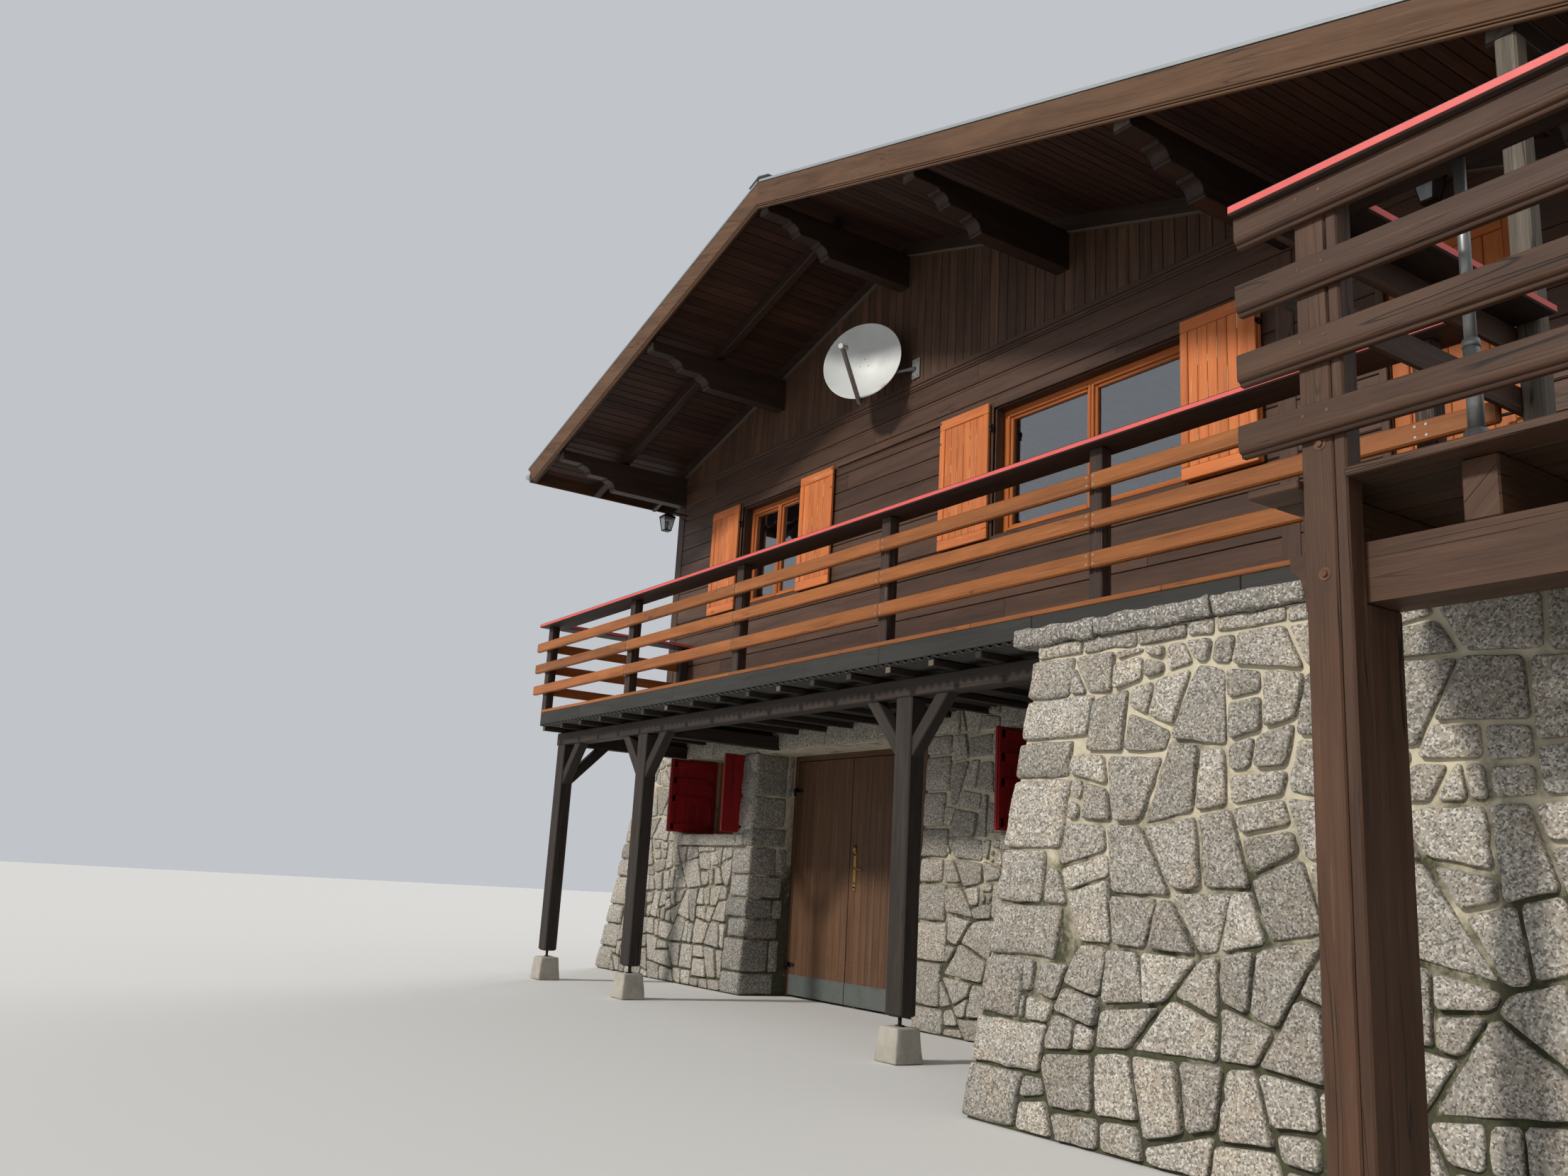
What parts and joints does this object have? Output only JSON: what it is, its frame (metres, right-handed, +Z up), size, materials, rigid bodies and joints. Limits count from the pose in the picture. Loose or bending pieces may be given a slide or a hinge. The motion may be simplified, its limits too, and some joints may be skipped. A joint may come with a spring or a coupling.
{
  "type": "alpine chalet",
  "caption": "Alpine chalet with a granite garage floor, dark timber upper floor, front balcony, raised timber terrace and a low-pitched asymmetric gable roof.",
  "frame": {"origin": "on the ground under the middle of the front timber wall, on the underside of the granite wall right of the garage door", "axes": "+X to the right along the front, +Y into the house, +Z up"},
  "size_m": [13.5, 12, 6.76],
  "materials": {
    "brown_boards": "brown stain, satin",
    "cap_timber": "faded salmon-red edge",
    "concrete": "trowelled",
    "dark_boards": "dark brown stain, satin",
    "deck_boards": "weathered",
    "dish_paint": "off-white, satin",
    "frame_wood": "brown stain, satin",
    "galvanised": "dull zinc coat",
    "gate_wood": "brown stain, worn at the foot",
    "glass": "clear",
    "granite": "rough-hewn grey and buff blocks in pale mortar",
    "green_grey_timber": "dark grey-green stain, weathered",
    "grey_timber": "silver-grey, weathered",
    "iron": "black, satin",
    "lantern_metal": "black with brass edges",
    "orange_wood": "orange stain, satin",
    "rail_wood": "golden brown stain, weathered",
    "red_wood": "deep red paint, satin",
    "roof_sheet": "light grey, matt",
    "sheet_metal": "grey, matt",
    "terrace_timber": "dark brown-grey, weathered and checked",
    "zinc": "dull, light grey"
  },
  "bodies": {
    "house": {"balcony_beam": "green_grey_timber", "balcony_door": "orange_wood", "balcony_fascia": "green_grey_timber", "balcony_joists": "green_grey_timber", "balcony_posts": "green_grey_timber", "balcony_rail_posts": "dark_boards", "balcony_rails": "rail_wood", "corrugated_sheet": "sheet_metal", "cross_beams": "green_grey_timber", "decks": "deck_boards", "door_lintel": "granite", "front_stone_wall_left": "granite", "front_stone_wall_right": "granite", "front_timber_wall": "dark_boards", "gables": "dark_boards", "garage_frame": "gate_wood", "ground_slab": "concrete", "gutters": "zinc", "handrails": "cap_timber", "hinge_pins": "iron", "lanterns": "lantern_metal", "orange_shutter_wide_folded": "orange_wood", "orange_shutter_wide_right": "orange_wood", "post_plinths": "concrete", "purlins": "dark_boards", "rafters": "dark_boards", "rear_stone_wall": "granite", "rear_timber_wall": "dark_boards", "roof_boarding": "brown_boards", "roof_covering": "roof_sheet", "roof_edge_boards": "brown_boards", "roof_post": "grey_timber", "satellite_dish": "dish_paint", "side_stone_walls": "granite", "side_timber_walls": "dark_boards", "steel_tube": "galvanised", "terrace_beam": "terrace_timber", "terrace_joists": "terrace_timber", "terrace_posts": "terrace_timber", "terrace_rails": "terrace_timber", "upper_floor": "brown_boards", "wall_trim": "dark_boards", "window_casings": "dark_boards", "window_frames": "frame_wood", "window_glass": "glass", "window_sills": "granite", "wing_coping": "granite", "wing_wall": "granite"},
    "garage_leaf_left": {"garage_leaf_left": "gate_wood"},
    "garage_leaf_middle": {"garage_leaf_middle": "gate_wood"},
    "red_shutter_1_left": {"red_shutter_1_left": "red_wood"},
    "red_shutter_1_right": {"red_shutter_1_right": "red_wood"},
    "red_shutter_2_left": {"red_shutter_2_left": "red_wood"},
    "red_shutter_2_right": {"red_shutter_2_right": "red_wood"},
    "orange_shutter_small_left": {"orange_shutter_small_left": "orange_wood"},
    "orange_shutter_small_right": {"orange_shutter_small_right": "orange_wood"},
    "orange_shutter_wide_left": {"orange_shutter_wide_left": "orange_wood"}
  },
  "joints": [
    {"name": "garage_leaf_left_turn", "type": "hinge", "parent": "house", "child": "garage_leaf_left", "pos_m": [-2.94, 0.37, 0.02], "axis": [0, 0, -1], "range_deg": [0, 90]},
    {"name": "garage_leaf_middle_turn", "type": "hinge", "parent": "house", "child": "garage_leaf_middle", "pos_m": [-1.092, 0.37, 0.02], "axis": [0, 0, 1], "range_deg": [0, 90]},
    {"name": "red_shutter_1_left_turn", "type": "hinge", "parent": "house", "child": "red_shutter_1_left", "pos_m": [-4.32, 0.298, 1.455], "axis": [0, 0, 1], "range_deg": [0, 90]},
    {"name": "red_shutter_1_right_turn", "type": "hinge", "parent": "house", "child": "red_shutter_1_right", "pos_m": [-3.2, 0.298, 1.455], "axis": [0, 0, -1], "range_deg": [0, 90]},
    {"name": "red_shutter_2_left_turn", "type": "hinge", "parent": "house", "child": "red_shutter_2_left", "pos_m": [0.52, 0.298, 1.455], "axis": [0, 0, 1], "range_deg": [0, 90]},
    {"name": "red_shutter_2_right_turn", "type": "hinge", "parent": "house", "child": "red_shutter_2_right", "pos_m": [1.64, 0.298, 1.455], "axis": [0, 0, -1], "range_deg": [0, 90]},
    {"name": "small_window_left_turn", "type": "hinge", "parent": "house", "child": "orange_shutter_small_left", "pos_m": [-3.608, -0.045, 3.68], "axis": [0, 0, 1], "range_deg": [0, 180]},
    {"name": "small_window_right_turn", "type": "hinge", "parent": "house", "child": "orange_shutter_small_right", "pos_m": [-2.502, -0.045, 3.68], "axis": [0, 0, -1], "range_deg": [0, 180]},
    {"name": "wide_window_left_turn", "type": "hinge", "parent": "house", "child": "orange_shutter_wide_left", "pos_m": [0.172, -0.045, 3.68], "axis": [0, 0, 1], "range_deg": [0, 180]}
  ]
}
